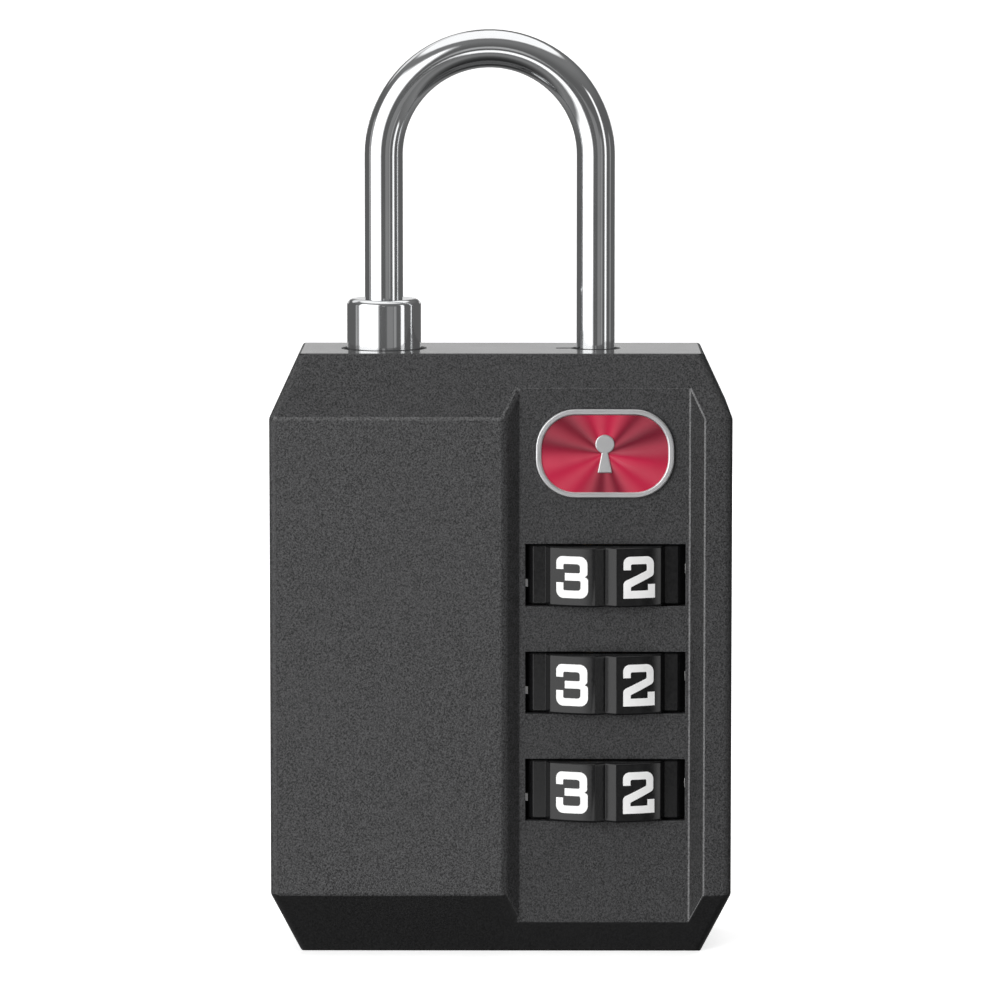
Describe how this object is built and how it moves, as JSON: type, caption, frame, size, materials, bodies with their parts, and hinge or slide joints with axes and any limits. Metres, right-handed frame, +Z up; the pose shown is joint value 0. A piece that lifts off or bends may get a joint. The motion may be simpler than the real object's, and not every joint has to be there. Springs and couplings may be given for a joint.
{
  "type": "luggage combination padlock",
  "caption": "Small luggage padlock: a chamfered painted metal case with number dials in a sunken panel, an override key cylinder in its foot, and a chromed wire shackle with a collar.",
  "frame": {"origin": "centre of the case's foot, on the surface that the upright lock stands on", "axes": "+X to the right seen from the front, +Y from the front to the back, +Z up towards the shackle"},
  "size_m": [0.03, 0.0142, 0.0602],
  "materials": {
    "case_paint": "fine sand-textured charcoal powder coat",
    "shackle_chrome": "bright chrome plate",
    "badge_chrome": "satin chrome plate",
    "badge_enamel": "gloss red enamel",
    "dial_black": "satin moulded black",
    "number_white": "white paint filled into the dial's numbers",
    "brass": "turned brass",
    "steel": "zinc-plated steel"
  },
  "bodies": {
    "case": {"body_shell": "case_paint", "back_cover": "case_paint", "cover_rivets": "steel", "emblem_bezel": "badge_chrome", "emblem_inlay": "badge_enamel", "dial_spindle": "steel", "dial_spacers": "brass", "detent_spring": "steel", "reset_spring": "steel", "latch_spring": "steel", "latch_spring_pin": "steel", "shackle_spring": "steel", "cylinder_housing": "brass"},
    "shackle": {"shackle": "shackle_chrome", "shackle_collar": "shackle_chrome", "retaining_clip": "steel"},
    "dial_top": {"dial_top": "dial_black", "hub_top": "brass"},
    "dial_middle": {"dial_middle": "dial_black", "hub_middle": "brass"},
    "dial_bottom": {"dial_bottom": "dial_black", "hub_bottom": "brass"},
    "latch": {"latch_bolt": "steel"},
    "locking_bar": {"locking_bar": "steel"},
    "key_plug": {"key_plug": "brass", "wafers": "brass", "wafer_springs": "steel", "plug_cam": "steel", "plug_clip": "steel"}
  },
  "joints": [
    {"name": "shackle_lift", "type": "slide", "parent": "case", "child": "shackle", "axis": [0, 0, 1], "range_m": [0, 0.0064], "deforming": ["shackle_spring"]},
    {"name": "latch_slide", "type": "slide", "parent": "case", "child": "latch", "axis": [-1, 0, 0], "range_m": [0, 0.002], "deforming": ["latch_spring"]},
    {"name": "dial_top_turn", "type": "hinge", "parent": "case", "child": "dial_top", "pos_m": [0.0068, 0, 0.02495], "axis": [0, 0, 1], "continuous": true},
    {"name": "dial_middle_turn", "type": "hinge", "parent": "case", "child": "dial_middle", "pos_m": [0.0068, 0, 0.0179], "axis": [0, 0, 1], "continuous": true},
    {"name": "dial_bottom_turn", "type": "hinge", "parent": "case", "child": "dial_bottom", "pos_m": [0.0068, 0, 0.01085], "axis": [0, 0, 1], "continuous": true},
    {"name": "key_plug_turn", "type": "hinge", "parent": "case", "child": "key_plug", "pos_m": [-0.0077, 0, 0.005], "axis": [0, 0, 1], "range_deg": [0, 90]},
    {"name": "locking_bar_lift", "type": "slide", "parent": "latch", "child": "locking_bar", "axis": [0, 0, 1], "range_m": [0, 0.00075]}
  ],
  "couplings": [
    {"joint": "latch_slide", "follows": "shackle_lift", "ratio": 0.3125},
    {"joint": "key_plug_turn", "follows": "locking_bar_lift", "rad_per_m": 2094.4}
  ]
}
